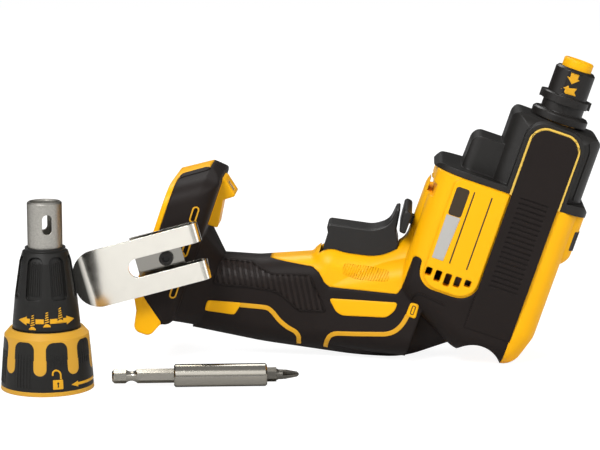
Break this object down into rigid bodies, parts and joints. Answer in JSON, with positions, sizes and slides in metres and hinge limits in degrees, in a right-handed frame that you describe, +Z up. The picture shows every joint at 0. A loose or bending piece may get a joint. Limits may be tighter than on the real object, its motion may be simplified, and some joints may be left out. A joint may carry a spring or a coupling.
{
  "type": "drywall screwdriver",
  "caption": "Cordless drywall screwdriver with slim pistol grip, angled battery foot, belt hook and clutch nose, its depth-setting nose cone and magnetic bit holder lying beside it.",
  "frame": {"origin": "bottom centre of the whole set's box, on the floor the pieces lie on", "axes": "+X to the right along the set, +Y away from the viewer across the tool, +Z up from the floor"},
  "size_m": [0.3048, 0.1455, 0.1611],
  "materials": {
    "yellow_plastic": "fine moulded grain",
    "black_rubber": "matt, moulded pattern",
    "black_plastic": "satin",
    "black_steel": "black oxide",
    "clear_lens": "clear",
    "yellow_trim": "satin",
    "gear_steel": "ground",
    "bush_bronze": "turned",
    "motor_iron": "stacked sheet",
    "polished_steel": "polished",
    "cone_black": "satin",
    "cone_yellow": "satin",
    "satin_steel": "satin, turned",
    "bit_steel": "phosphated grey"
  },
  "bodies": {
    "tool": {"belt_hook": "polished_steel", "belt_hook_screw": "black_steel", "control_module": "black_plastic", "front_bearing": "gear_steel", "gear_bush": "bush_bronze", "gear_case": "black_plastic", "housing_screws": "black_steel", "lamp_lens": "clear_lens", "left_grip": "black_rubber", "left_housing": "yellow_plastic", "left_side_strip": "black_rubber", "left_strip_edge": "yellow_trim", "nose_collar": "black_steel", "nose_ring": "yellow_trim", "rear_bearing": "gear_steel", "right_grip": "black_rubber", "right_housing": "yellow_plastic", "right_side_strip": "black_rubber", "right_strip_edge": "yellow_trim", "spindle_bush": "bush_bronze", "stator": "motor_iron", "terminal_block": "black_plastic", "terminals": "bush_bronze", "trigger_switch": "black_plastic"},
    "trigger": {"trigger": "black_plastic"},
    "direction_lever": {"direction_lever": "black_plastic"},
    "rotor": {"rotor_core": "motor_iron", "motor_shaft": "gear_steel", "fan": "black_plastic", "pinion": "gear_steel"},
    "gear": {"drive_gear": "gear_steel", "clutch_spring": "gear_steel"},
    "clutch_carriage": {"thrust_washer": "gear_steel"},
    "spindle": {"spindle": "gear_steel"},
    "cone": {"cone_sleeve": "cone_black", "retaining_ring": "gear_steel"},
    "lock_collar": {"lock_collar": "cone_yellow", "lock_collar_grip": "black_rubber"},
    "depth_adjuster": {"depth_adjuster": "cone_black"},
    "locator_tube": {"locator_tube": "satin_steel"},
    "bit_holder": {"bit_holder": "satin_steel", "bit_magnet": "motor_iron"},
    "screwdriver_bit": {"screwdriver_bit": "bit_steel"}
  },
  "joints": [
    {"name": "trigger_press", "type": "slide", "parent": "tool", "child": "trigger", "axis": [-0.319, 0, -0.9478], "range_m": [0, 0.006], "stiffness_N_per_m": 600, "springref_m": -0.004},
    {"name": "direction_shift", "type": "slide", "parent": "tool", "child": "direction_lever", "axis": [0, 1, 0], "range_m": [-0.003, 0.003]},
    {"name": "motor_spin", "type": "hinge", "parent": "tool", "child": "rotor", "pos_m": [0.08786, 0.03575, 0.06291], "axis": [0.319, 0, 0.9478], "continuous": true},
    {"name": "gear_spin", "type": "hinge", "parent": "tool", "child": "gear", "pos_m": [0.12187, 0.03575, 0.1], "axis": [0.319, 0, 0.9478], "continuous": true},
    {"name": "clutch_push", "type": "slide", "parent": "tool", "child": "clutch_carriage", "axis": [-0.319, 0, -0.9478], "range_m": [0, 0.002], "stiffness_N_per_m": 2500, "springref_m": -0.002},
    {"name": "spindle_spin", "type": "hinge", "parent": "clutch_carriage", "child": "spindle", "pos_m": [0.12952, 0.03575, 0.12275], "axis": [0.319, 0, 0.9478], "continuous": true},
    {"name": "cone_lift_off", "type": "slide", "parent": "tool", "child": "cone", "axis": [0, 0, 1], "range_m": [0, 0.1]},
    {"name": "collar_lock", "type": "hinge", "parent": "cone", "child": "lock_collar", "pos_m": [-0.12894, -0.04925, 0.015], "axis": [0, 0, 1], "range_deg": [0, 40]},
    {"name": "depth_turn", "type": "hinge", "parent": "cone", "child": "depth_adjuster", "pos_m": [-0.12894, -0.04925, 0.05], "axis": [0, 0, 1], "range_deg": [0, 720]},
    {"name": "tube_travel", "type": "slide", "parent": "cone", "child": "locator_tube", "axis": [0, 0, -1], "range_m": [0, 0.00799]},
    {"name": "bit_holder_lift_off", "type": "slide", "parent": "tool", "child": "bit_holder", "axis": [0, 0, 1], "range_m": [0, 0.1]},
    {"name": "bit_pull_out", "type": "slide", "parent": "bit_holder", "child": "screwdriver_bit", "axis": [0.9942, 0.108, 0], "range_m": [0, 0.015]}
  ],
  "couplings": [
    {"joint": "gear_spin", "follows": "motor_spin", "ratio": -0.33333},
    {"joint": "depth_turn", "follows": "tube_travel", "rad_per_m": 1570.8}
  ]
}
